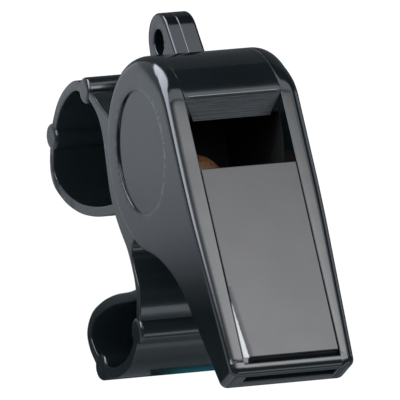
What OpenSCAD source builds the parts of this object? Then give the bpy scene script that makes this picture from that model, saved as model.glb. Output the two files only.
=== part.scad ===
// Pea whistle with a two-finger grip, for dog training.
// X runs across the whistle, -Y points out of the mouthpiece, +Z points up through the roof.
// The whistle rests on its two finger loops. The origin is under the middle of its outline, on the
// surface that it rests on. Side outlines are drawn as [reach, height] from the barrel's axis, where
// reach counts towards the mouthpiece.

/* [Barrel] */
// Width across the two side faces
body_w = 20.2; // [19:0.1:22]
// Outer radius of the side walls round the barrel
barrel_r = 12.9; // [12.5:0.1:13.4]
// Radius of the fuller curve that leads from the barrel's underside to the neck
belly_r = 14.8; // [14:0.1:15.6]
// Place where that curve leaves the barrel, in degrees back from straight down
belly_turn = 7; // [0:1:14]
// Height of the barrel's drum above its side walls
drum_rise = 0.45; // [0.2:0.05:0.6]
// Inner radius of the pea chamber
chamber_r = 10.6; // [10.2:0.1:11]
// Inner width of the chamber and of the window
chamber_w = 14.4; // [13:0.1:15.5]
// Radius of the shallow round recess in each side face
recess_r = 8.7; // [7:0.1:9.5]
// Depth of that recess
recess_d = 0.3; // [0.1:0.05:0.5]

/* [Mouthpiece] */
// Reach of the mouthpiece's end from the barrel's axis
mouth_h = 38.5; // [37:0.1:42]
// Width of the mouthpiece at its end
mouth_w = 18.5; // [17.4:0.1:19]
// Reach at which the sides begin to taper
taper_h = 14; // [10:0.5:20]
// Height of the mouthpiece's underside above the barrel's axis
under_z = 7.1; // [6.5:0.1:8]
// Slope of the underside, in degrees
under_slope = 14.5; // [11:0.5:17]
// Radius of the hollow curve between the underside and the barrel
throat_r = 20.5; // [16:0.5:24]
// Radius of the mouthpiece's rounded corners
corner_r = 1.2; // [0.4:0.1:1.5]

/* [Windway] */
// Width of the windway
windway_w = 13.6; // [11:0.1:14]
// Height of the windway
windway_t = 2; // [1.4:0.1:2.2]
// Reach of the window's front edge, where the windway ends
window_h = 7.9; // [6.5:0.1:10]
// Reach behind the axis of the top of the sloped blade
blade_h = 2.8; // [2:0.1:3.2]
// Thickness left on the blade's edge
blade_t = 0.12; // [0.05:0.01:0.2]

/* [Roof plate] */
// Thickness of the plate, which is let into the roof
plate_t = 1.4; // [1:0.1:1.8]
// Gap at each side of the plate
plate_gap = 0.1; // [0.05:0.01:0.2]
// Reach of the end of the plate's flat top
plate_h = 36.4; // [34:0.1:36.6]
// Length and depth of the groove between the plate's top and the lip
lip_groove = 0.7; // [0.4:0.1:0.9]

/* [Lanyard lug] */
// Distance of the hole behind the barrel's axis
lug_back = 17.35; // [17:0.05:19]
// Distance of the hole below the barrel's axis
lug_drop = 3.35; // [2:0.05:5]
// Radius of the lug's round end
lug_r = 4; // [3.4:0.1:4.6]
// Width of the lug
lug_w = 4.4; // [3:0.1:6]
// Radius of the lanyard hole
lug_hole_r = 1.8; // [1.2:0.1:2.2]
// Slope of the lug's top and bottom, in degrees
lug_flare = 12; // [5:1:16]

/* [Pea] */
// Radius of the cork pea
pea_r = 4.85; // [4:0.05:4.9]
// Gap between the pea and the chamber's wall
pea_gap = 0.2; // [0.1:0.05:0.4]
// Place of the pea round the chamber, in degrees forward of straight down
pea_turn = 56; // [0:1:80]
// Shift of the pea from the middle plane
pea_shift = -2.15; // [-2.15:0.05:2.15]

/* [Finger grip] */
// Width of the grip
grip_w = 19.4; // [16:0.1:20]
// Thickness of the loops
loop_t = 1.3; // [1:0.1:1.5]
// Radius of the ribs that run across the grip
rib_r = 1.75; // [1.4:0.05:1.9]
// Height of the barrel's axis above the surface that the loops rest on
axis_z = 34.2; // [33.8:0.1:35]

/* [Hidden] */
$fn = 96;

// The outline's depth along Y is centred on the origin
axis_y = (mouth_h - lug_back - lug_r) / 2;
roof_z = barrel_r;
drum_r = barrel_r + drum_rise;
plate_z = roof_z - plate_t;
lip_h = plate_h + lip_groove;
reach_past = 5;

// Hollow curve under the neck: it touches the barrel's belly on one side and the underside on the other
belly_c = (belly_r - barrel_r) * [sin(belly_turn), cos(belly_turn)];
belly_reach = belly_r + throat_r;
under_dir = [cos(under_slope), sin(under_slope)];
under_down = [sin(under_slope), -cos(under_slope)];
throat_from = [mouth_h, under_z] + throat_r * under_down - belly_c;
throat_along = throat_from * under_dir;
throat_root = sqrt(throat_along ^ 2 - throat_from * throat_from + belly_reach ^ 2);
throat_c = belly_c + throat_from - (throat_along - throat_root) * under_dir;
throat_end = throat_c - throat_r * under_down;
throat_start = belly_c + (throat_c - belly_c) * belly_r / belly_reach;

// The pea lies against the chamber's wall
pea_orbit = chamber_r - pea_gap - pea_r;
pea_at = pea_orbit * [sin(pea_turn), -cos(pea_turn)];

// Loops' middle lines, from the rib at the top round the bottom to the spine
curve_steps = 6;
loop_low = loop_t / 2 - axis_z;
rear_rib = [-15.6, -15.4];
rear_foot_rib = [-14.9, -30.8];
front_rib = [20.5, -15.9];
front_foot_rib = [19.8, -31.5];
rear_loop = [
    rear_rib, [-17.7, -18.6], [-18.1, -22.8], [-17.2, -26.8], [-14.6, -30.7], [-10.2, loop_low],
    [-6.3, -31.4], [-2.9, -27.4], [-0.4, -22.9], [1.5, -18.2], [3, -13.2]
];
front_loop = [
    front_rib, [22.6, -19.3], [23, -23.6], [22, -28.2], [19.2, -31.9], [14.8, loop_low],
    [12.8, -31], [12.7, -26.6], [13.7, -21.2], [15.4, -15.8], [16.2, -12.4]
];
// The spine's two edges, from the rear rib to the front rib
spine_top = [
    rear_rib + [0, 0.6], [-13.9, -12.9], [-12, -11.5], [-9.2, -9.2], [-3, -8.6], [5, -8.6],
    [9.2, -8.8], [10, -11.1], [12.1, -11.8], [15.6, -11.8], [18.2, -12.8], front_rib + [0, 0.7]
];
spine_under = [
    rear_rib + [0, -0.5], [-13.2, -14.1], [-10.7, -12.8], [-7.8, -12.6], [-4.4, -13.4], [-0.3, -14.4],
    [3, -14.5], [6.1, -13.9], [9.5, -12.9], [12.7, -12.7], [15.1, -13], [17.8, -14.2], front_rib + [0, -0.6]
];

// A smooth curve through the points of a list
function blend_point(a, b, c, d, t) =
    0.5 * (2 * b + (c - a) * t + (2 * a - 5 * b + 4 * c - d) * t ^ 2 + (3 * b - a - 3 * c + d) * t ^ 3);
function smooth(p) = let (last = len(p) - 1) concat(
    [for (i = [0:last - 1], s = [0:curve_steps - 1])
        blend_point(p[max(i - 1, 0)], p[i], p[i + 1], p[min(i + 2, last)], s / curve_steps)],
    [p[last]]
);
function reversed(p) = [for (i = [len(p) - 1:-1:0]) p[i]];

// The points at a distance to the left of a line through points
function beside(p, distance) = let (last = len(p) - 1) [
    for (i = [0:last])
        let (along = p[min(i + 1, last)] - p[max(i - 1, 0)])
        p[i] + distance * [-along.y, along.x] / norm(along)
];
function strip(p, thickness) = concat(beside(p, thickness / 2), reversed(beside(p, -thickness / 2)));

// Moves a shape from the barrel's axis to its place over the surface
module at_axis() translate([0, axis_y, axis_z]) children();

// Extrudes a side outline evenly to both sides of the middle plane
module across(width) rotate([90, 0, -90]) linear_extrude(width, center = true) children();

// Box between two reaches and two heights
module block(width, from, to) across(width) polygon([from, [to.x, from.y], to, [from.x, to.y]]);

// Side outline of the barrel and neck
module side_outline() {
    corner_z = under_z + corner_r / cos(under_slope) - corner_r * tan(under_slope);
    circle(r = barrel_r);
    belly();
    difference() {
        polygon([
            [0, roof_z], [mouth_h - corner_r, roof_z], [mouth_h, roof_z - corner_r],
            [mouth_h, corner_z], [mouth_h - corner_r, corner_z] + corner_r * under_down,
            throat_end, throat_c, throat_start, [0, 0]
        ]);
        translate(throat_c) circle(r = throat_r);
    }
    for (z = [roof_z - corner_r, corner_z]) translate([mouth_h - corner_r, z]) circle(r = corner_r, $fn = 48);
}

// Fuller part of the barrel's outline, from under its middle to the hollow curve
module belly() {
    intersection() {
        translate(belly_c) circle(r = belly_r);
        polygon([
            belly_c, belly_c - 2 * belly_r * [sin(belly_turn), cos(belly_turn)],
            belly_c + 2 * belly_r * [1, -1], 2 * throat_start - belly_c
        ]);
    }
}

module whistle_body() {
    color("#1b1d1f") at_axis() difference() {
        union() {
            intersection() {
                across(body_w) side_outline();
                plan_slab();
            }
            across(chamber_w) circle(r = drum_r);
            lug();
        }
        across(chamber_w) circle(r = chamber_r);
        across(chamber_w) window_cut();
        block(chamber_w, [window_h - 0.01, plate_z], [lip_h, roof_z + reach_past]);
        block(windway_w, [window_h - 0.01, plate_z - windway_t], [mouth_h + reach_past, plate_z + 0.01]);
        for (side = [-1, 1]) translate([side * body_w / 2, 0, 0]) across(2 * recess_d) circle(r = recess_r);
        translate([0, lug_back, -lug_drop]) across(lug_w + 2) circle(r = lug_hole_r, $fn = 64);
    }
}

// Tall slab with the body's outline from above: straight past the barrel, then tapered to the mouth
module plan_slab() {
    half = body_w / 2;
    half_end = mouth_w / 2;
    shoulder = half_end - corner_r;
    rotate([0, 0, 180]) translate([0, 0, -2 * barrel_r]) linear_extrude(4 * barrel_r) {
        polygon([
            [-half, -2 * barrel_r], [half, -2 * barrel_r], [half, taper_h], [half_end, mouth_h - corner_r],
            [shoulder, mouth_h], [-shoulder, mouth_h], [-half_end, mouth_h - corner_r], [-half, taper_h]
        ]);
        for (side = [-1, 1]) translate([side * shoulder, mouth_h - corner_r]) circle(r = corner_r, $fn = 48);
    }
}

// Window over the chamber, with the sloped blade behind it
module window_cut() {
    blade_z = chamber_r + blade_t;
    blade_top = sqrt(drum_r ^ 2 - blade_h ^ 2);
    blade_run = blade_h / (blade_top - blade_z);
    polygon([
        [0, 0], [window_h, 0], [window_h, roof_z + reach_past],
        [-blade_run * (roof_z + reach_past - blade_z), roof_z + reach_past], [0, blade_z]
    ]);
}

// Ear behind the barrel that carries the lanyard hole
module lug() {
    root = [lug_r * sin(lug_flare), lug_r * cos(lug_flare)];
    run = 8;
    spread = run * tan(lug_flare);
    across(lug_w) translate([-lug_back, -lug_drop]) {
        circle(r = lug_r);
        polygon([[-root.x, root.y], [run, root.y + spread], [run, -root.y - spread], [-root.x, -root.y]]);
    }
}

// Cover of the windway, let in flush between the rails, with a lowered end behind the lip
module roof_plate() {
    plate_w = chamber_w - 2 * plate_gap;
    color("#242628") at_axis() difference() {
        block(plate_w, [window_h, plate_z], [lip_h, roof_z]);
        block(plate_w + 2, [plate_h, roof_z - lip_groove], [lip_h + 1, roof_z + 1]);
    }
}

// Cork ball, free to run round the chamber
module cork_pea() {
    color("#a8794c") at_axis() translate([pea_shift, -pea_at.x, pea_at.y]) sphere(r = pea_r);
}

// Saddle under the barrel with a loop for each finger and ribs across it
module finger_grip() {
    color("#202224") at_axis() difference() {
        union() {
            across(grip_w) polygon(concat(smooth(spine_top), reversed(smooth(spine_under))));
            for (loop = [rear_loop, front_loop]) across(grip_w) polygon(strip(smooth(loop), loop_t));
            for (rib = [rear_rib, rear_foot_rib, front_rib, front_foot_rib])
                across(grip_w) translate(rib) circle(r = rib_r, $fn = 48);
        }
        across(grip_w + 2) circle(r = barrel_r);
        across(grip_w + 2) belly();
        across(chamber_w) circle(r = drum_r);
    }
}

whistle_body();
roof_plate();
finger_grip();
cork_pea();
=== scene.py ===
"""Training whistle: the visual model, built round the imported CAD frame."""
import math

import bmesh
import bpy
import numpy as np
from mathutils import Matrix, Vector, noise
from mathutils.geometry import delaunay_2d_cdt


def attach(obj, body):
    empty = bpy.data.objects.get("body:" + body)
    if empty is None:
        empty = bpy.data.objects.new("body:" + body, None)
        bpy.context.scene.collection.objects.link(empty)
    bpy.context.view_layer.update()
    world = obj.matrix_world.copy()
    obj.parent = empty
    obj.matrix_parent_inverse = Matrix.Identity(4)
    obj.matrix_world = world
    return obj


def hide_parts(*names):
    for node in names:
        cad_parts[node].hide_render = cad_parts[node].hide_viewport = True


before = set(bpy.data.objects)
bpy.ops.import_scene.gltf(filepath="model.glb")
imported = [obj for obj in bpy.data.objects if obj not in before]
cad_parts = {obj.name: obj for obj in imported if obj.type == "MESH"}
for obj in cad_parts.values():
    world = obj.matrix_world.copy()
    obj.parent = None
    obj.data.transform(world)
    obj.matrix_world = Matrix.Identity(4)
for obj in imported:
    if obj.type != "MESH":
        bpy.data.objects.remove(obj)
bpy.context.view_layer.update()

MM = 0.001

# Sizes in millimetres. Side outlines are [reach, height] from the barrel's axis, as in the CAD source.
AXIS_Y = 8.575
AXIS_Z = 34.2

# Body: drum, belly, neck and mouthpiece.
BODY_W = 20.2
MOUTH_W = 18.5
BARREL_R = 12.9
DRUM_R = 13.35
BELLY_R = 14.8
BELLY_TURN = 7.0
MOUTH_H = 38.5
TAPER_H = 14.0
TAPER_EASE = 5.0
UNDER_Z = 7.1
UNDER_SLOPE = math.radians(14.5)
THROAT_R = 20.5
CORNER_R = 1.2
RECESS_R = 8.7
RECESS_D = 0.3

# Where the roof line blends into the drum: degrees along the drum and millimetres along the roof line.
SHOULDER_TURN = 5.2
SHOULDER_RUN = 1.2

# The near wall's top strip leans outwards from its inner edge.
ROOF_LEAN = math.tan(math.radians(5.5))
INNER_EDGE_R = 0.15

# Chamber, window, blade and windway.
CHAMBER_R = 10.6
CHAMBER_HALF = 7.2
WINDOW_H = 7.9
WINDWAY_HALF = 6.8
FLOOR_Z = 9.5
BLADE_H = 2.8
BLADE_T = 0.12
BLADE_NOTCH_FROM = 5.8
BLADE_NOTCH_SHARE = 0.86

# Roof plate and lip.
PLATE_Z = 11.5
PLATE_HALF = 7.1
PLATE_H = 36.1
LIP_H = 36.8
GROOVE_NEAR = 0.45
GROOVE_FAR = 1.05

# Ear with the lanyard hole.
LUG_AT = np.array([-17.35, -3.35])
LUG_R = 4.12
LUG_HALF = 2.28
LUG_HOLE_R = 1.8
LUG_FLARE = math.radians(12)

# Cork pea.
PEA_R = 4.6
PEA_AT = np.array([4.60, -3.10])
PEA_X = -2.15

# Finger grip. The skin is what the edge rounding takes off the loops and their ribs, added back.
GRIP_HALF = 9.8
LOOP_T = 1.3
LOOP_SKIN = 0.16
RIB_R = 1.75

# Square metres: a face too thin to have a direction of its own.
SLIVER = 1e-12


# ---------------------------------------------------------------- outlines

def arc(centre, radius, start, end, step=0.45):
    """Points on a circle from one angle to another, in degrees."""
    count = max(2, int(abs(math.radians(end - start)) * radius / step))
    turn = np.radians(np.linspace(start, end, count + 1))
    return np.stack([centre[0] + radius * np.cos(turn), centre[1] + radius * np.sin(turn)], 1)


def circle(centre, radius, count):
    """A closed circle with a given number of points."""
    turn = np.arange(count) / count * 2 * math.pi
    return np.stack([centre[0] + radius * np.cos(turn), centre[1] + radius * np.sin(turn)], 1)


def line(start, end, step=0.9):
    """Points along a straight line, with both its ends."""
    count = max(1, int(math.dist(start, end) / step))
    t = np.linspace(0, 1, count + 1)[:, None]
    return np.array(start) * (1 - t) + np.array(end) * t


def chain(*parts):
    """Joins stretches of an outline, without the points that they share."""
    points = np.concatenate(parts)
    keep = np.linalg.norm(points - np.roll(points, 1, 0), axis=1) > 1e-5
    return points[keep]


def thinned(path, gap):
    """The outline without points nearer than a gap to the last one kept."""
    kept = [path[0]]
    for point in path[1:]:
        if math.dist(point, kept[-1]) >= gap and math.dist(point, path[0]) >= gap:
            kept.append(point)
    return np.array(kept)


def angle_of(point, centre=(0, 0)):
    """The direction from a centre to a point, in degrees."""
    return math.degrees(math.atan2(point[1] - centre[1], point[0] - centre[0]))


def rounded(corners, radii, step=0.05):
    """A polygon with each corner rounded to its own radius."""
    corners = [np.array(c, float) for c in corners]
    parts = []
    for i, corner in enumerate(corners):
        if radii[i] <= 0:
            parts.append(corner[None])
            continue
        back = corners[i - 1] - corner
        on = corners[(i + 1) % len(corners)] - corner
        back, on = back / np.linalg.norm(back), on / np.linalg.norm(on)
        half = math.acos(float(np.clip(back @ on, -1, 1))) / 2
        reach = radii[i] / math.tan(half)
        centre = corner + (back + on) / np.linalg.norm(back + on) * radii[i] / math.sin(half)
        start, end = angle_of(corner + back * reach, centre), angle_of(corner + on * reach, centre)
        end = start + (end - start + 180) % 360 - 180
        parts.append(arc(centre, radii[i], start, end, max(step, radii[i] / 6)))
    return chain(*parts)


def smooth(points, steps=8):
    """A smooth curve through points."""
    points = [np.array(p, float) for p in points]
    last = len(points) - 1
    out = []
    for i in range(last):
        a, b, c, d = points[max(i - 1, 0)], points[i], points[i + 1], points[min(i + 2, last)]
        for t in np.arange(steps) / steps:
            out.append(0.5 * (2 * b + (c - a) * t + (2 * a - 5 * b + 4 * c - d) * t ** 2
                              + (3 * b - a - 3 * c + d) * t ** 3))
    return np.array(out + [points[last]])


def strip(points, thickness):
    """The outline of a bent strip round its middle line."""
    after = np.vstack([points[1:], points[-1:]])
    before = np.vstack([points[:1], points[:-1]])
    along = after - before
    side = np.stack([-along[:, 1], along[:, 0]], 1) / np.linalg.norm(along, axis=1)[:, None]
    return np.vstack([points + side * thickness / 2, (points - side * thickness / 2)[::-1]])


def outward(path):
    """How far and which way each point of a closed outline moves for an offset of one."""
    before = path - np.roll(path, 1, 0)
    after = np.roll(path, -1, 0) - path
    before = before / np.linalg.norm(before, axis=1)[:, None]
    after = after / np.linalg.norm(after, axis=1)[:, None]
    side = np.stack([before[:, 1] + after[:, 1], -before[:, 0] - after[:, 0]], 1)
    side = side / np.linalg.norm(side, axis=1)[:, None]
    square = (side * np.stack([after[:, 1], -after[:, 0]], 1)).sum(1)
    return side / np.clip(square, 0.5, 1)[:, None]


def counter_clockwise(path):
    """The same closed outline, turned round if it runs clockwise."""
    h, z = path[:, 0], path[:, 1]
    area = (h * np.roll(z, -1) - z * np.roll(h, -1)).sum()
    return path if area > 0 else path[::-1]


def throat():
    """The hollow curve under the neck: its centre and its two ends."""
    turn = math.radians(BELLY_TURN)
    belly = (BELLY_R - BARREL_R) * np.array([math.sin(turn), math.cos(turn)])
    along = np.array([math.cos(UNDER_SLOPE), math.sin(UNDER_SLOPE)])
    down = np.array([math.sin(UNDER_SLOPE), -math.cos(UNDER_SLOPE)])
    start = np.array([MOUTH_H, UNDER_Z]) + THROAT_R * down - belly
    run = start @ along
    root = math.sqrt(run ** 2 - start @ start + (BELLY_R + THROAT_R) ** 2)
    centre = belly + start - (run - root) * along
    near_end = belly + (centre - belly) * BELLY_R / (BELLY_R + THROAT_R)
    return belly, centre, near_end, centre - THROAT_R * down, down


BELLY_C, THROAT_C, THROAT_START, THROAT_END, DOWN = throat()
CORNER_Z = UNDER_Z + CORNER_R / math.cos(UNDER_SLOPE) - CORNER_R * math.tan(UNDER_SLOPE)
LOW_CORNER = (MOUTH_H - CORNER_R, CORNER_Z)
TOP_CORNER = (MOUTH_H - CORNER_R, BARREL_R - CORNER_R)


def drum_meets_belly():
    """Where the drum's circle passes inside the belly's: the angle on the drum and the point."""
    turns = np.linspace(270, 330, 1201)
    on_drum = DRUM_R * np.stack([np.cos(np.radians(turns)), np.sin(np.radians(turns))], 1)
    first = np.argmax(np.linalg.norm(on_drum - BELLY_C, axis=1) < BELLY_R)
    return turns[first], on_drum[first]


def underside(from_turn):
    """From the belly round the throat and along the underside to the mouthpiece's end."""
    return [
        arc(BELLY_C, BELLY_R, from_turn, angle_of(THROAT_START, BELLY_C)),
        arc(THROAT_C, THROAT_R, angle_of(THROAT_START, THROAT_C), angle_of(THROAT_END, THROAT_C)),
        line(THROAT_END, LOW_CORNER + CORNER_R * DOWN),
        arc(LOW_CORNER, CORNER_R, angle_of(DOWN), 0, 0.2),
    ]


# ---------------------------------------------------------------- mesh code

def place(h, z, x):
    """A point in the scene, from its reach, its height and its place across the whistle."""
    return Vector((x, AXIS_Y - h, AXIS_Z + z)) * MM


def ring(bm, path, x):
    """New vertices along an outline, at one x or at an x for each point."""
    x = np.broadcast_to(x, len(path))
    return [bm.verts.new(place(h, z, at)) for (h, z), at in zip(path, x)]


def band(bm, a, b):
    """Faces between two rings with the same number of points."""
    n = len(a)
    for i in range(n):
        bm.faces.new((a[i], a[(i + 1) % n], b[(i + 1) % n], b[i]))


def inside(points, loops):
    """Which points lie inside the first loop and outside the others."""
    odd = np.zeros(len(points), bool)
    for loop in loops:
        a, b = loop, np.roll(loop, -1, 0)
        with np.errstate(divide="ignore", invalid="ignore"):
            cross = a[:, 0] + (points[:, 1:] - a[:, 1]) * (b[:, 0] - a[:, 0]) / (b[:, 1] - a[:, 1])
        straddles = (a[:, 1] > points[:, 1:]) != (b[:, 1] > points[:, 1:])
        odd ^= (straddles & (points[:, :1] < cross)).sum(1) % 2 == 1
    return odd


def cap(bm, loops, x_at, spacing=None):
    """Closes a flat end. Loops are (vertices, outline): the outside first, then the holes."""
    paths = [np.float32(path).astype(float) for _, path in loops]
    verts = [v for ring_verts, _ in loops for v in ring_verts]
    points = np.concatenate(paths)
    edges, first = [], 0
    for path in paths:
        edges += [(first + i, first + (i + 1) % len(path)) for i in range(len(path))]
        first += len(path)
    if spacing:
        low, high = points.min(0), points.max(0)
        across = np.arange(low[0], high[0], spacing)
        upward = np.arange(low[1], high[1], spacing)
        grid = np.stack(np.meshgrid(across, upward), -1).reshape(-1, 2)
        grid = grid[inside(grid, paths)]
        gap = np.sqrt(((grid[:, None] - points[None]) ** 2).sum(-1)).min(1)
        grid = grid[gap > spacing * 0.6]
        verts += [bm.verts.new(place(h, z, x_at(h))) for h, z in grid]
        points = np.concatenate([points, grid])
    found = delaunay_2d_cdt([Vector(p) for p in points], edges, [], 0, 1e-6)
    corners = [verts[origin[0]] for origin in found[3]]
    flat = np.array([list(v) for v in found[0]])
    faces = [f for f in found[2] if len(f) == 3]
    kept = inside(flat[np.array(faces)].mean(1), paths)
    for face, keep in zip(faces, kept):
        if keep:
            bm.faces.new([corners[i] for i in face])


def weld(bm, first):
    """Closes one solid: joins the points that coincide among those made after the first ones."""
    bmesh.ops.remove_doubles(bm, verts=list(bm.verts)[first:], dist=2e-7)


def sheath(bm, path, rings, holes=(), spacing=None):
    """A closed solid from an outline: rings are (x, inset) pairs from one end face to the other."""
    first = len(bm.verts)
    path = counter_clockwise(path)
    away = outward(path)
    made, shapes = [], []
    for x, inset in rings:
        shape = path - away * np.broadcast_to(inset, len(path))[:, None]
        shapes.append(shape)
        made.append(ring(bm, shape, x))
    for a, b in zip(made, made[1:]):
        band(bm, a, b)
    for end, hole in ((0, holes[0] if holes else None), (-1, holes[1] if holes else None)):
        loops = [(made[end], shapes[end])] + ([hole] if hole else [])
        cap(bm, loops, lambda h, x=rings[end][0]: float(np.min(x)), spacing)
    weld(bm, first)


def fillet(outer, radius, side, steps=6):
    """Ring positions of a rounded edge, from the wall to the end face at x = outer."""
    out = []
    for t in np.linspace(0, math.pi / 2, steps + 1):
        out.append((outer - side * radius * (1 - math.sin(t)), radius * (1 - math.cos(t))))
    return out


def both_ends(half, radius, steps=5, middle=()):
    """Rings for a solid with both end faces rounded."""
    first = fillet(-half, radius, -1, steps)[::-1]
    return first + list(middle) + fillet(half, radius, 1, steps)


def new_piece(name, bm, material, sharp=38):
    """Makes an object of the mesh, smooth but for edges sharper than an angle in degrees."""
    bmesh.ops.recalc_face_normals(bm, faces=bm.faces)
    for face in bm.faces:
        face.smooth = True
    for edge in bm.edges:
        sliver = min(face.calc_area() for face in edge.link_faces) < SLIVER
        edge.smooth = sliver or edge.calc_face_angle(0) < math.radians(sharp)
    mesh = bpy.data.meshes.new(name)
    bm.to_mesh(mesh)
    bm.free()
    piece = bpy.data.objects.new(name, mesh)
    bpy.context.scene.collection.objects.link(piece)
    mesh.materials.append(material)
    even = piece.modifiers.new("even_shading", "WEIGHTED_NORMAL")
    even.keep_sharp = True
    even.weight = 80
    return piece


# ---------------------------------------------------------------- materials

def nodes_of(name):
    """A new material with its node tree and its shader."""
    material = bpy.data.materials.new(name)
    material.use_nodes = True
    tree = material.node_tree
    shader = tree.nodes["Principled BSDF"]
    return material, tree, shader


def node(tree, kind, **values):
    """A new node: values go to its sockets, or to its settings where it has no such socket."""
    made = tree.nodes.new(kind)
    for key, value in values.items():
        if key in made.inputs:
            made.inputs[key].default_value = value
        else:
            setattr(made, key, value)
    return made


def in_mm(tree, scale=(1, 1, 1)):
    """Object coordinates in millimetres, stretched by a scale."""
    coords = node(tree, "ShaderNodeTexCoord")
    mapping = node(tree, "ShaderNodeMapping")
    mapping.inputs["Scale"].default_value = [s / MM for s in scale]
    tree.links.new(coords.outputs["Object"], mapping.inputs["Vector"])
    return mapping.outputs["Vector"]


def noise_of(tree, vector, scale, detail=3.0, roughness=0.5):
    """A soft noise from 0 to 1."""
    made = node(tree, "ShaderNodeTexNoise", Scale=scale, Detail=detail, Roughness=roughness)
    tree.links.new(vector, made.inputs["Vector"])
    return made.outputs["Fac"]


def ramp(tree, source, stops):
    """Turns a value into a colour: stops are (value, colour)."""
    made = node(tree, "ShaderNodeValToRGB")
    elements = made.color_ramp.elements
    while len(elements) < len(stops):
        elements.new(0.5)
    for element, (at, colour) in zip(elements, stops):
        element.position = at
        element.color = (*colour, 1) if len(colour) == 3 else colour
    tree.links.new(source, made.inputs["Fac"])
    return made.outputs["Color"]


def grey(value):
    """A grey of one value."""
    return (value, value, value)


def bump(tree, height, strength, distance, normal=None):
    """Surface relief from a height, as deep as a distance in millimetres."""
    made = node(tree, "ShaderNodeBump", Strength=strength, Distance=distance * MM)
    tree.links.new(height, made.inputs["Height"])
    if normal is not None:
        tree.links.new(normal, made.inputs["Normal"])
    return made.outputs["Normal"]


def mixed(tree, factor, a, b):
    """Colour a where the factor is 0 and colour b where it is 1."""
    made = node(tree, "ShaderNodeMix", data_type="RGBA")
    for source, socket in ((factor, made.inputs["Factor"]), (a, made.inputs[6]), (b, made.inputs[7])):
        if isinstance(source, (tuple, list)):
            socket.default_value = (*source, 1)
        else:
            tree.links.new(source, socket)
    return made.outputs[2]


def maths(tree, operation, *values):
    """The result of a Math node on numbers or sockets."""
    made = node(tree, "ShaderNodeMath", operation=operation)
    for value, socket in zip(values, made.inputs):
        if isinstance(value, (int, float)):
            socket.default_value = value
        else:
            tree.links.new(value, socket)
    return made.outputs[0]


def product(tree, *values):
    """The product of two or more numbers or sockets."""
    total = values[0]
    for value in values[1:]:
        total = maths(tree, "MULTIPLY", total, value)
    return total


def span(tree, source, low, high):
    """Rises from 0 to 1 while a value goes from low to high."""
    made = node(tree, "ShaderNodeMapRange")
    made.inputs["From Min"].default_value = low
    made.inputs["From Max"].default_value = high
    tree.links.new(source, made.inputs["Value"])
    return made.outputs["Result"]


def axes_in_mm(tree):
    """The object's X, Y and Z in millimetres."""
    axes = node(tree, "ShaderNodeSeparateXYZ")
    tree.links.new(in_mm(tree), axes.inputs[0])
    return axes.outputs["X"], axes.outputs["Y"], axes.outputs["Z"]


def body_zones(tree):
    """Masks of the chamber's inside, which came dull from the mould and is painted darker as shade, and of
    the blade's machined ramp.
    """
    x, y, z = axes_in_mm(tree)
    back = maths(tree, "SUBTRACT", y, AXIS_Y)
    above = maths(tree, "SUBTRACT", z, AXIS_Z)
    square = maths(tree, "ADD", product(tree, back, back), product(tree, above, above))
    limit = (CHAMBER_R + 0.08) ** 2
    middle = maths(tree, "LESS_THAN", maths(tree, "ABSOLUTE", x), CHAMBER_HALF + 0.02)
    chamber = product(tree, middle, maths(tree, "LESS_THAN", square, limit))
    outside = product(tree, middle, maths(tree, "GREATER_THAN", square, limit))
    high = maths(tree, "GREATER_THAN", above, 0.0)
    from_tip = maths(tree, "GREATER_THAN", back, -0.1)
    to_top = maths(tree, "LESS_THAN", back, BLADE_H - 0.02)
    return chamber, product(tree, outside, high, from_tip, to_top)


def weld_mark_with_painted_glint_and_shade(tree):
    """Where the weld whitened the plate's near edge towards the mouth, with a painted glint of the flash
    on it, and a painted shaded line beside it.
    """
    x, y, _ = axes_in_mm(tree)
    begins, widening, raggedness = 24.0, 0.098, 0.35
    h = maths(tree, "SUBTRACT", AXIS_Y, y)
    width = product(tree, maths(tree, "SUBTRACT", h, begins), widening)
    ragged = product(tree, noise_of(tree, in_mm(tree), 1.1, 4), raggedness)
    from_edge = maths(tree, "ADD", x, PLATE_HALF + 0.12)
    over = maths(tree, "SUBTRACT", maths(tree, "SUBTRACT", width, ragged), from_edge)
    grown = maths(tree, "GREATER_THAN", h, begins + 1.5)
    # The pale mark is the weld's whitening together with a painted glint; the dark line beside it is
    # painted shade.
    white = product(tree, span(tree, over, 0.0, 0.14), grown)
    shade = product(tree, span(tree, over, -0.8, -0.1), grown)
    return white, shade


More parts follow.
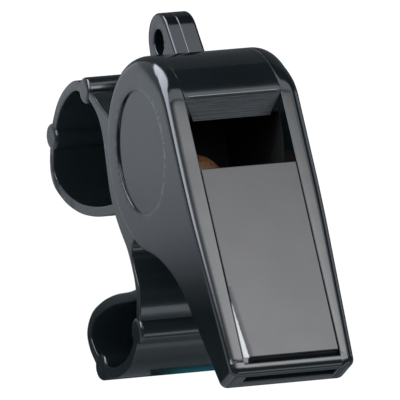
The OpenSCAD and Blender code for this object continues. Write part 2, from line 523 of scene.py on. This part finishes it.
def plastic(name, base, dull, scuff=0.5, zones=False, streak=False):
    """Black moulded plastic: slightly uneven gloss, hairline scratches and a few pale specks."""
    material, tree, shader = nodes_of(name)
    plain = in_mm(tree)
    rough = ramp(tree, noise_of(tree, plain, 0.22, 4), [(0.3, grey(dull[0])), (0.7, grey(dull[1]))])
    cells = node(tree, "ShaderNodeTexVoronoi", Scale=0.55)
    tree.links.new(plain, cells.inputs["Vector"])
    specks = ramp(tree, cells.outputs["Distance"], [(0.0, grey(scuff)), (0.055, grey(0))])
    lighter = tuple(c * 1.25 for c in base)
    tint = ramp(tree, noise_of(tree, plain, 0.09, 2), [(0.35, base), (0.65, lighter)])
    pale = tuple(min(1, c * 7 + 0.04) for c in base)
    colour = mixed(tree, specks, tint, pale)
    hair = noise_of(tree, in_mm(tree, (0.35, 5.0, 1.0)), 1.3, 6, 0.7)
    sink = noise_of(tree, plain, 0.12, 2)
    normal = bump(tree, hair, 0.05, 0.012, bump(tree, sink, 0.25, 0.12))
    if zones:
        chamber, cut = body_zones(tree)
        # Painted shade: the chamber's inside is coloured darker than the body, standing in for the shade
        # inside the hollow; its higher roughness below is the real dull finish.
        colour = mixed(tree, chamber, colour, (0.0015, 0.003, 0.003))
        colour = mixed(tree, cut, colour, (0.012, 0.015, 0.017))
        rough = mixed(tree, chamber, rough, grey(0.6))
        rough = mixed(tree, cut, rough, grey(0.24))
        lines = product(tree, noise_of(tree, in_mm(tree, (0.05, 7.0, 7.0)), 1.0, 4, 0.6), cut)
        normal = bump(tree, lines, 0.7, 0.05, normal)
    if streak:
        white, shade = weld_mark_with_painted_glint_and_shade(tree)
        # Painted shade: a dark blue line beside the weld mark.
        colour = mixed(tree, shade, colour, (0.004, 0.012, 0.022))
        # The weld's whitening, with a painted glint of the flash on top of it.
        colour = mixed(tree, white, colour, (0.50, 0.52, 0.53))
        rough = mixed(tree, shade, rough, grey(0.45))
    tree.links.new(rough, shader.inputs["Roughness"])
    tree.links.new(colour, shader.inputs["Base Color"])
    tree.links.new(normal, shader.inputs["Normal"])
    shader.inputs["IOR"].default_value = 1.5
    return material


def cork(name):
    """Cork: warm grains of several tones with dark pores."""
    material, tree, shader = nodes_of(name)
    plain = in_mm(tree)
    grain = node(tree, "ShaderNodeTexVoronoi", Scale=1.9)
    tree.links.new(plain, grain.inputs["Vector"])
    tones = [(0.2, (0.24, 0.09, 0.03)), (0.55, (0.34, 0.15, 0.055)), (0.85, (0.42, 0.22, 0.10))]
    warm = ramp(tree, grain.outputs["Color"], tones)
    pores = ramp(tree, noise_of(tree, plain, 1.4, 5, 0.65), [(0.36, grey(1)), (0.46, grey(0))])
    tree.links.new(mixed(tree, pores, warm, (0.17, 0.08, 0.03)), shader.inputs["Base Color"])
    tree.links.new(bump(tree, grain.outputs["Distance"], 0.5, 0.12), shader.inputs["Normal"])
    shader.inputs["Roughness"].default_value = 0.85
    return material


def floor_material(name):
    """White paper that glows a little over white, so that no shadow greys it."""
    material, _, shader = nodes_of(name)
    shader.inputs["Base Color"].default_value = (0.04, 0.04, 0.04, 1)
    shader.inputs["Roughness"].default_value = 0.9
    shader.inputs["Specular IOR Level"].default_value = 0.0
    shader.inputs["Emission Color"].default_value = (1, 1, 1, 1)
    shader.inputs["Emission Strength"].default_value = 1.02
    return material


# ---------------------------------------------------------------- pieces

def half_width(h):
    """Half the body's width: level past the barrel, then eased in towards the mouth."""
    h = np.asarray(h, float)
    slope = (BODY_W - MOUTH_W) / 2 / (MOUTH_H - TAPER_H)
    t = np.clip((h - TAPER_H + TAPER_EASE) / (2 * TAPER_EASE), 0, 1)
    return BODY_W / 2 - slope * np.where(h > TAPER_H + TAPER_EASE, h - TAPER_H, TAPER_EASE * t * t)


def cheek_outline():
    """Side outline with the rounding of its outer and inner edges at each point."""
    drum_end, meet = drum_meets_belly()
    belly, hollow, under, low = underside(angle_of(meet, BELLY_C))
    top, bottom = (LIP_H - 0.3, BARREL_R), (MOUTH_H, CORNER_Z)
    leaves = 180 - math.degrees(math.asin(BARREL_R / DRUM_R))
    shoulder = np.array([DRUM_R * math.cos(math.radians(leaves)), BARREL_R])
    turn = math.radians(leaves + SHOULDER_TURN)
    on_drum = DRUM_R * np.array([math.cos(turn), math.sin(turn)])
    t = np.linspace(0, 1, 8)[:-1, None]
    blend = (1 - t) ** 2 * (shoulder + [SHOULDER_RUN, 0]) + 2 * t * (1 - t) * shoulder + t ** 2 * on_drum
    # Each stretch: path, depth of the outer rounding, its width along x, radius of the inner edge.
    stretches = [
        (arc((0, 0), DRUM_R, leaves + SHOULDER_TURN, 125), (1.35, 1.9), (2.1, 2.6), 0.0),
        (arc((0, 0), DRUM_R, 125, 200), (1.9, 1.75), (2.6, 2.4), 0.0),
        (arc((0, 0), DRUM_R, 200, drum_end), (1.75, 1.1), (2.4, 1.2), 0.0),
        (belly, (1.1, 0.75), (1.2, 0.8), 0.0),
        (hollow, (0.75, 0.7), (0.8, 0.8), 0.0),
        (under, (0.7, 1.1), (0.8, 1.1), 0.0),
        (low, (1.1, 1.1), (1.1, 1.1), 0.0),
        (line(bottom, (MOUTH_H, TOP_CORNER[1]), 0.4), (1.1, 1.1), (1.1, 1.3), 0.0),
        (arc(TOP_CORNER, CORNER_R, 0, 90, 0.15), (1.1, 1.05), (1.2, 1.2), 0.0),
        (line((TOP_CORNER[0], BARREL_R), (LIP_H - 0.1, BARREL_R), 0.1), (1.05, 1.05), (1.2, 1.2), 0.0),
        (line(top, (shoulder[0] + SHOULDER_RUN, BARREL_R), 0.6), (1.05, 1.2), (1.2, 1.6), INNER_EDGE_R),
        (blend, (1.2, 1.35), (1.6, 2.1), INNER_EDGE_R),
    ]
    points = np.concatenate([path for path, *_ in stretches])
    depth = np.concatenate([np.linspace(*ends, len(path)) for path, ends, _, _ in stretches])
    width = np.concatenate([np.linspace(*ends, len(path)) for path, _, ends, _ in stretches])
    inner = np.concatenate([np.full(len(path), radius) for path, _, _, radius in stretches])
    keep = np.linalg.norm(points - np.roll(points, 1, 0), axis=1) > 1e-5
    return points[keep], depth[keep], width[keep], inner[keep]


def recess_rings(bm, side):
    """The shallow round recess in a side face: its rim, and its walls down to the floor."""
    half = BODY_W / 2
    steps = [(0.16, 0.0), (0.08, 0.02), (0.02, 0.08), (0.0, 0.16), (0.0, 0.24), (-0.06, RECESS_D)]
    paths = [circle((0, 0), RECESS_R + grow, 160) for grow, _ in steps]
    rings = [ring(bm, path, side * (half - sink)) for path, (_, sink) in zip(paths, steps)]
    for a, b in zip(rings, rings[1:]):
        band(bm, a, b)
    cap(bm, [(rings[-1], paths[-1])], lambda h: side * (half - RECESS_D))
    return rings[0], paths[0]


def cheek(bm, side):
    """One side wall of the whistle, with its rounded outer edge and its recess."""
    first = len(bm.verts)
    path, depth, width, inner = cheek_outline()
    away = outward(path)
    steps = 10
    # How far the near side's top strip falls from its inner edge to its rounding: nothing at the shoulder.
    run = np.clip(half_width(path[:, 0]) - width - CHAMBER_HALF - inner, 0, None)
    share = np.clip((path[:, 0] + 3) / 9, 0, 1) * (inner > 0) * (side < 0)
    fall = run * ROOF_LEAN * share
    shapes, made = [], []
    for t in np.linspace(math.pi / 2, 0, 4):
        x = CHAMBER_HALF + inner * (1 - math.sin(t))
        shapes.append(path - away * (inner * (1 - math.cos(t)))[:, None])
        made.append(ring(bm, shapes[-1], side * x))
    for t in np.linspace(0, math.pi / 2, steps + 1):
        shape = path - away * (fall + (depth - fall) * (1 - math.cos(t)))[:, None]
        x = half_width(shape[:, 0]) - width * (1 - math.sin(t))
        shapes.append(shape)
        made.append(ring(bm, shape, side * x))
    for a, b in zip(made, made[1:]):
        band(bm, a, b)
    cap(bm, [(made[0], shapes[0])], lambda h: side * CHAMBER_HALF)
    hole = recess_rings(bm, side)
    cap(bm, [(made[-1], shapes[-1]), hole], lambda h: side * float(half_width(h)), 1.0)
    weld(bm, first)


def core_path():
    """Outline of everything between the side walls: drum, blade, chamber, windway floor and underside."""
    blade_z = CHAMBER_R + BLADE_T
    top = np.array([-BLADE_H, math.sqrt(DRUM_R ** 2 - BLADE_H ** 2)])
    edge = np.array([0.0, blade_z])
    ramp_dir = (top - edge) / np.linalg.norm(top - edge)
    leaves, meet = drum_meets_belly()
    belly, hollow, under, low = underside(angle_of(meet, BELLY_C))
    drum = arc((0, 0), DRUM_R, angle_of(top) + 0.7, leaves)
    front = math.sqrt(CHAMBER_R ** 2 - WINDOW_H ** 2)
    chamber = arc((0, 0), CHAMBER_R, angle_of((WINDOW_H, front)), -270)
    mouth = rounded([(MOUTH_H, CORNER_Z + 0.1), (MOUTH_H, FLOOR_Z), (WINDOW_H, FLOOR_Z)], [0, 0.25, 0])
    near = 0.13
    blade = line(edge, top - ramp_dir * near, 0.5)
    path = chain(drum, belly, hollow, under, low, mouth, chamber, blade)
    on_ramp = np.zeros(len(path))
    length = np.linalg.norm(top - edge)
    for i, point in enumerate(path):
        along = (point - edge) @ ramp_dir
        off = abs((point - edge) @ np.array([-ramp_dir[1], ramp_dir[0]]))
        if off < near and -0.1 < along < length - 0.05 and point[1] < top[1] - 0.03:
            on_ramp[i] = 1 - max(along, 0) / length
    is_drum = np.abs(np.linalg.norm(path, axis=1) - DRUM_R) < 1e-3
    return path, on_ramp, is_drum, ramp_dir * length


def core(bm):
    """The middle of the body, with the corners of the blade's edge cut back."""
    first = len(bm.verts)
    path, on_ramp, is_drum, ramp_run = core_path()
    levels = [(CHAMBER_HALF, 0.02), (CHAMBER_HALF - 0.05, 0)]
    levels += [(x, 0) for x in (7.0, 6.85, 6.7, 6.5, 6.3, 6.1, 5.9, BLADE_NOTCH_FROM)]
    levels = [(-x, inset) for x, inset in levels] + levels[::-1]
    away = outward(path)
    made, shapes = [], []
    for x, inset in levels:
        notch = max(0, (abs(x) - BLADE_NOTCH_FROM) / (CHAMBER_HALF - BLADE_NOTCH_FROM))
        back = BLADE_NOTCH_SHARE * notch ** 0.8
        shape = path - away * (inset * is_drum)[:, None] + (on_ramp * back)[:, None] * ramp_run
        shapes.append(shape)
        made.append(ring(bm, shape, x))
    for a, b in zip(made, made[1:]):
        band(bm, a, b)
    for end in (0, -1):
        cap(bm, [(made[end], shapes[end])], lambda h, x=levels[end][0]: x)
    weld(bm, first)


def lip(bm):
    """The bar across the end of the roof plate, over the mouthpiece's slot."""
    path = rounded([(LIP_H, PLATE_Z), (MOUTH_H, PLATE_Z), (MOUTH_H, BARREL_R), (LIP_H, BARREL_R)],
                   [0, 0.2, 1.15, 0.32], 0.08)
    sheath(bm, path, [(-CHAMBER_HALF, 0), (CHAMBER_HALF, 0)])


def ledges(bm):
    """The strips beside the windway that the roof plate lies on."""
    low, end = FLOOR_Z - 0.1, MOUTH_H - 0.02
    path = np.array([(WINDOW_H, low), (end, low), (end, PLATE_Z), (WINDOW_H, PLATE_Z)])
    for side in (-1, 1):
        sheath(bm, path, [(side * WINDWAY_HALF, 0), (side * (CHAMBER_HALF + 0.2), 0)])


def lug(bm):
    """The ear with the lanyard hole, with a fine parting groove round its rim."""
    root = LUG_R * np.array([math.sin(LUG_FLARE), math.cos(LUG_FLARE)])
    upper, lower = LUG_AT + root * [-1, 1], LUG_AT - root
    spread = math.tan(LUG_FLARE)
    # How far the ear's lower and upper edges run on into the drum.
    run_below, run_above = 8.6, 6.6
    path = chain(
        arc(LUG_AT, LUG_R, 90 + math.degrees(LUG_FLARE), 270 - math.degrees(LUG_FLARE), 0.3),
        line(lower, lower + run_below * np.array([1, -spread]), 0.6),
        line(upper + run_above * np.array([1, spread]), upper, 0.6),
    )
    first = len(bm.verts)
    half, edge, groove, wide = LUG_HALF, 0.45, -0.3, 0.09
    rings = both_ends(half, edge, 6, [(groove - wide, 0), (groove, 0.08), (groove + wide, 0)])
    steps = [(0.22, 0.0), (0.1, 0.03), (0.03, 0.1), (0.0, 0.24)]
    loops = [(circle(LUG_AT, LUG_HOLE_R + grow, 48), sink) for grow, sink in steps]
    hole = [ring(bm, loop, -half + sink) for loop, sink in loops]
    hole += [ring(bm, loop, half - sink) for loop, sink in loops[::-1]]
    for a, b in zip(hole, hole[1:]):
        band(bm, a, b)
    sheath(bm, path, rings, [(hole[0], loops[0][0]), (hole[-1], loops[0][0])])
    weld(bm, first)


def build_body(material):
    """The body moulding: two side walls and all that lies between them."""
    bm = bmesh.new()
    for side in (-1, 1):
        cheek(bm, side)
    core(bm)
    lip(bm)
    ledges(bm)
    lug(bm)
    piece = new_piece("whistle_body_moulding", bm, material)
    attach(piece, "whistle")
    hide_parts("whistle_body")


def build_plate(material):
    """The roof plate, with a groove that slopes down towards the lip."""
    bm = bmesh.new()
    end = LIP_H - 0.02
    corners = [(WINDOW_H, PLATE_Z), (end, PLATE_Z), (end, BARREL_R - GROOVE_FAR),
               (PLATE_H, BARREL_R - GROOVE_NEAR), (PLATE_H, BARREL_R), (WINDOW_H, BARREL_R)]
    path = rounded(corners, [0.18, 0, 0.18, 0.1, 0.18, 0.18], 0.05)
    sheath(bm, path, both_ends(PLATE_HALF, 0.14, 3))
    piece = new_piece("roof_plate_insert", bm, material)
    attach(piece, "whistle")
    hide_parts("roof_plate")


# The grip's outlines: rib centres, the middle lines of the loops, and the spine's lower and upper edges.
REAR_RIB, REAR_FOOT = np.array([-15.6, -15.4]), np.array([-14.9, -30.8])
FRONT_RIB, FRONT_FOOT = np.array([20.5, -15.9]), np.array([19.8, -31.5])
LOOP_LOW = LOOP_T / 2 - AXIS_Z
REAR_LOOP = [REAR_RIB, (-17.7, -18.6), (-18.1, -22.8), (-17.2, -26.8), (-14.6, -30.7), (-10.2, LOOP_LOW),
             (-6.3, -31.4), (-2.9, -27.4), (-0.4, -22.9), (1.5, -18.2), (3, -13.2)]
FRONT_LOOP = [FRONT_RIB, (22.6, -19.3), (23, -23.6), (22, -28.2), (19.2, -31.9), (14.8, LOOP_LOW),
              (12.8, -31), (12.7, -26.6), (13.7, -21.2), (15.4, -15.8), (16.2, -12.4)]
SPINE_UNDER = [REAR_RIB + [0, -0.5], (-13.2, -14.1), (-10.7, -12.8), (-7.8, -12.6), (-4.4, -13.4),
               (-0.3, -14.4), (3, -14.5), (6.1, -13.9), (9.5, -12.9), (12.7, -12.7), (15.1, -13),
               (17.8, -14.2), FRONT_RIB + [0, -0.6]]
SPINE_REAR = [REAR_RIB + [0, 0.6], (-13.9, -12.9), (-12, -11.5), (-9.2, -9.2)]
SPINE_FRONT = [(9.2, -8.8), (10, -11.1), (12.1, -11.8), (15.6, -11.8), (18.2, -12.8), FRONT_RIB + [0, 0.7]]


def build_grip(material):
    """Spine, two finger loops and the four ribs across them, welded to one moulding."""
    bm = bmesh.new()
    inner = arc((0, 0), 11.9, 180 + 46, 360 - 44)
    spine = np.vstack([smooth(SPINE_REAR, 6), inner, smooth(SPINE_FRONT, 6), smooth(SPINE_UNDER, 8)[::-1]])
    sheath(bm, thinned(spine, 0.4), both_ends(GRIP_HALF + 0.04, 0.22, 4))
    for loop in (REAR_LOOP, FRONT_LOOP):
        sheath(bm, strip(smooth(loop), LOOP_T + LOOP_SKIN), both_ends(GRIP_HALF, 0.2, 4))
    for rib in (REAR_RIB, REAR_FOOT, FRONT_RIB, FRONT_FOOT):
        sheath(bm, circle(rib, RIB_R + LOOP_SKIN, 48), both_ends(GRIP_HALF + 0.2, 0.6, 5))
    piece = new_piece("finger_grip_moulding", bm, material)
    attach(piece, "whistle")
    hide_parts("finger_grip")


def build_pea(material):
    """Cork ball with shallow pits and slightly flattened grains."""
    bm = bmesh.new()
    bmesh.ops.create_icosphere(bm, subdivisions=5, radius=1)
    for vert in bm.verts:
        way = vert.co.normalized()
        pits = max(0.0, noise.noise(way * 9.0) - 0.12) * 0.22 + abs(noise.noise(way * 3.1)) * 0.07
        vert.co = way * (PEA_R - 0.01 - pits)
    bmesh.ops.transform(bm, matrix=Matrix.Scale(MM, 4), verts=bm.verts)
    bmesh.ops.translate(bm, vec=place(PEA_AT[0], PEA_AT[1], PEA_X), verts=bm.verts)
    piece = new_piece("cork_pea_ball", bm, material, 60)
    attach(piece, "pea")
    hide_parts("cork_pea")


# ---------------------------------------------------------------- studio

# The camera's target, the width that the picture shows there, and the target's depth in the whistle.
TARGET = Vector((-2.916, 0.773, 34.393)) * MM
FRAME_WIDTH = 55.8 * MM
DEPTH = 8 * MM
CAMERA_DISTANCE = 2.4

# The paper floor: half its side, and how far it lies below the whistle's loops, in metres.
FLOOR_HALF = 1.5
FLOOR_GAP = 0.0002

# Colours of the reflection cards.
NEUTRAL = (1.0, 1.0, 1.02)
COOL = (0.92, 0.99, 1.10)
LAVENDER = (0.93, 0.985, 1.10)
TEAL = (0.0, 0.75, 1.0)

# Brightness along a card: [place in millimetres, share]. The overhead light, along x and along y.
OVERHEAD_X = [(-170, 0.0), (-110, 0.2), (-50, 0.36), (0, 0.72), (55, 0.88), (90, 1.0), (108, 1.0),
              (120, 0.8), (140, 0.8), (165, 0.0)]
OVERHEAD_Y = [(-170, 0.0), (-70, 0.06), (-38, 0.3), (8, 0.9), (30, 1.0), (66, 0.95), (84, 0.78),
              (94, 0.64), (101, 0.42), (108, 0.26), (140, 0.0)]

# The floor under the whistle, and the floor beside it, which shows in the near side face.
UNDER_Y = [(-160, 1.0), (-110, 0.4), (-45, 0.3), (-28, 0.12), (900, 0.12)]
SIDE_X = [(-70, 1.0), (-48, 0.7), (-38, 0.0), (-12, 0.0)]
SIDE_Y = [(-60, 1.0), (-34, 0.7), (-24, 0.05), (-5, 0.01), (-1, 0.12), (4, 0.45), (9, 0.70), (20, 0.91),
          (32, 1.0)]

# The light at the left, a slanting strip that falls towards the rear.
LEFT_CARD = [(-120, 12, 72), (0, 130, 5), (0, 130, 78), (-120, 12, 150)]

# The dim room all round, in turns of 60 degrees, and the turns where it is darker still.
ROOM_TURNS = range(0, 360, 60)
DARK_TURNS = (120, 180)


def floor_sheet(left, right, front, rear, height=0.3):
    """Corners of a level card just over the floor, or higher."""
    return [(left, front, height), (right, front, height), (right, rear, height), (left, rear, height)]


def stage_floor():
    """The plain pale floor."""
    bm = bmesh.new()
    bmesh.ops.create_grid(bm, x_segments=2, y_segments=2, size=FLOOR_HALF)
    mesh = bpy.data.meshes.new("studio_floor")
    bm.to_mesh(mesh)
    bm.free()
    floor = bpy.data.objects.new("studio_floor", mesh)
    floor.location.z = -FLOOR_GAP
    mesh.materials.append(floor_material("studio_paper"))
    bpy.context.scene.collection.objects.link(floor)


def card(name, corners, strength, colour=(1, 1, 1), x_run=None, y_run=None, join="MULTIPLY", fade=0.0):
    """A glowing card that only shows in reflections. Runs are its brightness along x and along y."""
    mesh = bpy.data.meshes.new(name)
    mesh.from_pydata([Vector(c) * MM for c in corners], [], [range(len(corners))])
    layer = mesh.uv_layers.new(name="across")
    for loop, uv in zip(layer.data, ((-1, -1), (1, -1), (1, 1), (-1, 1))):
        loop.uv = uv
    made = bpy.data.objects.new(name, mesh)
    material, tree, shader = nodes_of(name)
    shader.inputs["Base Color"].default_value = (0, 0, 0, 1)
    shader.inputs["Specular IOR Level"].default_value = 0.0
    shader.inputs["Emission Color"].default_value = (*colour, 1)
    shader.inputs["Emission Strength"].default_value = strength
    shares = [card_run(tree, axis, run) for axis, run in (("X", x_run), ("Y", y_run)) if run]
    if fade:
        shares = [card_fade(tree, axis, fade) for axis in ("X", "Y")]
    if shares:
        share = shares[0] if len(shares) == 1 else maths(tree, join, *shares)
        tree.links.new(maths(tree, "MULTIPLY", share, strength), shader.inputs["Emission Strength"])
    mesh.materials.append(material)
    bpy.context.scene.collection.objects.link(made)
    made.visible_camera = False
    made.visible_diffuse = False
    made.visible_shadow = False
    made.visible_transmission = False


def card_fade(tree, axis, fade):
    """One in the middle of a card and nothing at its edges; fade is the share that falls off."""
    coords = node(tree, "ShaderNodeUVMap", uv_map="across")
    axes = node(tree, "ShaderNodeSeparateXYZ")
    tree.links.new(coords.outputs["UV"], axes.inputs[0])
    fall = node(tree, "ShaderNodeMapRange", interpolation_type="SMOOTHSTEP")
    for socket, value in (("From Min", 1.0), ("From Max", 1.0 - fade), ("To Min", 0.0), ("To Max", 1.0)):
        fall.inputs[socket].default_value = value
    tree.links.new(maths(tree, "ABSOLUTE", axes.outputs[axis]), fall.inputs["Value"])
    return fall.outputs["Result"]


def card_run(tree, axis, run):
    """Brightness along an axis from the first place to the last."""
    coords = node(tree, "ShaderNodeTexCoord")
    axes = node(tree, "ShaderNodeSeparateXYZ")
    tree.links.new(coords.outputs["Object"], axes.inputs[0])
    first, last = run[0][0], run[-1][0]
    along = node(tree, "ShaderNodeMapRange")
    along.inputs["From Min"].default_value = first * MM
    along.inputs["From Max"].default_value = last * MM
    tree.links.new(axes.outputs[axis], along.inputs["Value"])
    stops = [((at - first) / (last - first), grey(share)) for at, share in run]
    return ramp(tree, along.outputs["Result"], stops)


def lamp_card(name, azimuth, elevation, width, height, distance, strength, colour=(1, 1, 1), fade=0.35):
    """A glowing card that faces the whistle; width and height are the angles that it fills, in degrees."""
    a, e = math.radians(azimuth), math.radians(elevation)
    way = Vector((math.sin(a) * math.cos(e), -math.cos(a) * math.cos(e), math.sin(e)))
    across = way.cross(Vector((0, 0, 1))).normalized()
    up = across.cross(way)
    across *= distance * math.tan(math.radians(width / 2))
    up *= distance * math.tan(math.radians(height / 2))
    middle = TARGET / MM + way * distance
    corners = [middle - across - up, middle + across - up, middle + across + up, middle - across + up]
    card(name, corners, strength, colour, fade=fade)


def camera():
    """Looks down on the near front corner, rolled so that the whistle stands nearly upright."""
    # The picture's right and up directions.
    right = Vector((0.92552, -0.20844, 0.31616))
    up = Vector((0.08098, 0.92451, 0.37245))
    back = right.cross(up).normalized()
    up = back.cross(right).normalized()
    data = bpy.data.cameras.new("camera")
    data.sensor_width = 36
    data.lens = data.sensor_width * CAMERA_DISTANCE / FRAME_WIDTH
    data.clip_end = 10
    cam = bpy.data.objects.new("camera", data)
    turn = Matrix((right, up, back)).transposed().to_4x4()
    cam.matrix_world = Matrix.Translation(TARGET + back * (CAMERA_DISTANCE - DEPTH)) @ turn
    bpy.context.scene.collection.objects.link(cam)
    bpy.context.scene.camera = cam


def studio():
    """White surroundings for soft light, and cards for what the gloss reflects."""
    scene = bpy.context.scene
    scene.view_settings.view_transform = "Standard"
    world = bpy.data.worlds.new("studio")
    world.use_nodes = True
    world.node_tree.nodes["Background"].inputs["Color"].default_value = (1, 1, 1, 1)
    world.node_tree.nodes["Background"].inputs["Strength"].default_value = 1.12
    scene.world = world
    world.cycles_visibility.glossy = False
    stage_floor()
    # Sheets: left, right, front, rear and height. Lamp cards: azimuth, elevation, width, height, distance.
    card("card_overhead", floor_sheet(-170, 165, -170, 140, 300), 7.5, NEUTRAL, OVERHEAD_X, OVERHEAD_Y)
    card("card_left", LEFT_CARD, 8.4, LAVENDER, fade=0.25)
    card("card_floor_left", floor_sheet(-150, -8, -200, 60), 0.78, COOL, SIDE_X, SIDE_Y, "MAXIMUM")
    card("card_floor_under", floor_sheet(-12, 900, -160, 900), 1.0, COOL, None, UNDER_Y)
    card("card_floor_far_left", floor_sheet(-900, -12, 60, 900), 0.5, COOL)
    card("card_teal", floor_sheet(-2, 22, -18, -8, 0.7), 0.16, TEAL, fade=0.5)
    lamp_card("card_rear_high", 180, 57, 90, 40, 400, 2.2, COOL, 0.3)
    lamp_card("card_right", 108, 8, 20, 40, 300, 1.2, COOL, 0.5)
    lamp_card("card_front", 25, 23, 50, 20, 400, 1.9, COOL, 0.3)
    lamp_card("card_front_low", -10, 5, 60, 14, 390, 0.9, COOL, 0.4)
    for turn in ROOM_TURNS:
        strength = 0.03 if turn in DARK_TURNS else 0.13
        lamp_card(f"card_room_{turn}", turn, 20, 62, 90, 900, strength, COOL, 0)


def main():
    """Builds the four pieces and the studio round them."""
    body = plastic("black_gloss", (0.0045, 0.0075, 0.009), (0.10, 0.15), zones=True)
    plate = plastic("black_satin", (0.007, 0.008, 0.009), (0.22, 0.25), 0.8, streak=True)
    grip = plastic("black_gloss_grip", (0.008, 0.0125, 0.0145), (0.14, 0.20))
    build_body(body)
    build_plate(plate)
    build_grip(grip)
    build_pea(cork("cork"))
    studio()
    camera()


main()
